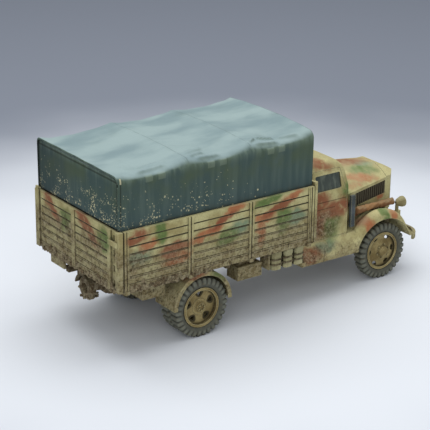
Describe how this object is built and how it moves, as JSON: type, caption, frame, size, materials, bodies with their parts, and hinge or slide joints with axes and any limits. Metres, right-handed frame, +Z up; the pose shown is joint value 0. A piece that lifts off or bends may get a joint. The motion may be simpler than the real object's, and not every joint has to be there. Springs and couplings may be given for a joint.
{
  "type": "scale model of a military cargo truck",
  "caption": "Painted scale model of a bonneted military cargo truck with boarded bed, canvas tilt, twin rear wheels and wheels that roll freely.",
  "frame": {"origin": "on the ground under the middle of the overall length and width", "axes": "+X forward to the bumper, +Y to the truck's left, +Z up"},
  "size_m": [0.105, 0.0412, 0.05],
  "materials": {
    "camouflage_paint": "matt sand yellow with soft green and red-brown patches, dusted and muddied",
    "bed_paint": "matt camouflage over boards, dark wash in the gaps, heavy mud low down",
    "tilt_canvas": "matt dark blue-green with dusty top and dark streaks",
    "tyre_rubber": "matt dark grey with dusty ribs",
    "wheel_paint": "matt sand yellow, dusty, dark wash in the holes",
    "chassis_paint": "matt dark brown, muddy",
    "window_paint": "dark grey painted panes with paler streaks",
    "lamp_paint": "pale lamp face in a sand yellow bowl",
    "rolled_canvas": "matt orange-brown roll",
    "tool_metal": "grey-blue painted metal",
    "canister_paint": "matt dusty sand yellow"
  },
  "bodies": {
    "chassis": {"bed_bearers": "chassis_paint", "bed_floor": "bed_paint", "bed_side_left": "bed_paint", "bed_side_right": "bed_paint", "bed_sills": "chassis_paint", "bumper": "camouflage_paint", "cab_mounts": "chassis_paint", "cab_shell": "camouflage_paint", "canister_rack": "bed_paint", "canisters": "canister_paint", "canvas_tilt": "tilt_canvas", "corner_posts": "bed_paint", "coupling_guard": "chassis_paint", "door_left": "camouflage_paint", "door_right": "camouflage_paint", "drive_shaft": "chassis_paint", "engine_block": "chassis_paint", "fender_left": "camouflage_paint", "fender_right": "camouflage_paint", "flat_tool": "tool_metal", "frame_cross_members": "chassis_paint", "frame_rail_left": "chassis_paint", "frame_rail_right": "chassis_paint", "front_axle": "chassis_paint", "front_knuckle_left": "chassis_paint", "front_knuckle_right": "chassis_paint", "front_springs": "chassis_paint", "grille": "camouflage_paint", "headboard": "bed_paint", "headlamps": "lamp_paint", "hood_side_left": "camouflage_paint", "hood_side_right": "camouflage_paint", "hood_top": "camouflage_paint", "mudguard_stays": "bed_paint", "nose_shell": "camouflage_paint", "radiator": "chassis_paint", "rear_axle": "chassis_paint", "rear_locker": "bed_paint", "rear_mudguard_left": "bed_paint", "rear_mudguard_right": "bed_paint", "rear_springs": "chassis_paint", "rear_window": "window_paint", "rolled_sheet": "rolled_canvas", "side_windows": "window_paint", "tailgate": "bed_paint", "tie_rod": "chassis_paint", "toolbox": "bed_paint", "tow_coupling": "chassis_paint", "windscreen_panes": "window_paint"},
    "front_wheel_left_body": {"front_tyre_left": "tyre_rubber", "front_wheel_left": "wheel_paint"},
    "front_wheel_right_body": {"front_tyre_right": "tyre_rubber", "front_wheel_right": "wheel_paint"},
    "rear_wheel_left_body": {"rear_tyre_inner_left": "tyre_rubber", "rear_tyre_outer_left": "tyre_rubber", "rear_wheel_left": "wheel_paint"},
    "rear_wheel_right_body": {"rear_tyre_inner_right": "tyre_rubber", "rear_tyre_outer_right": "tyre_rubber", "rear_wheel_right": "wheel_paint"}
  },
  "joints": [
    {"name": "front_left_roll", "type": "hinge", "parent": "chassis", "child": "front_wheel_left_body", "pos_m": [0.03878, 0.0135, 0.0081], "axis": [0, 1, 0], "continuous": true},
    {"name": "front_right_roll", "type": "hinge", "parent": "chassis", "child": "front_wheel_right_body", "pos_m": [0.03878, -0.0135, 0.0081], "axis": [0, 1, 0], "continuous": true},
    {"name": "rear_left_roll", "type": "hinge", "parent": "chassis", "child": "rear_wheel_left_body", "pos_m": [-0.02552, 0.0135, 0.0081], "axis": [0, 1, 0], "continuous": true},
    {"name": "rear_right_roll", "type": "hinge", "parent": "chassis", "child": "rear_wheel_right_body", "pos_m": [-0.02552, -0.0135, 0.0081], "axis": [0, 1, 0], "continuous": true}
  ]
}
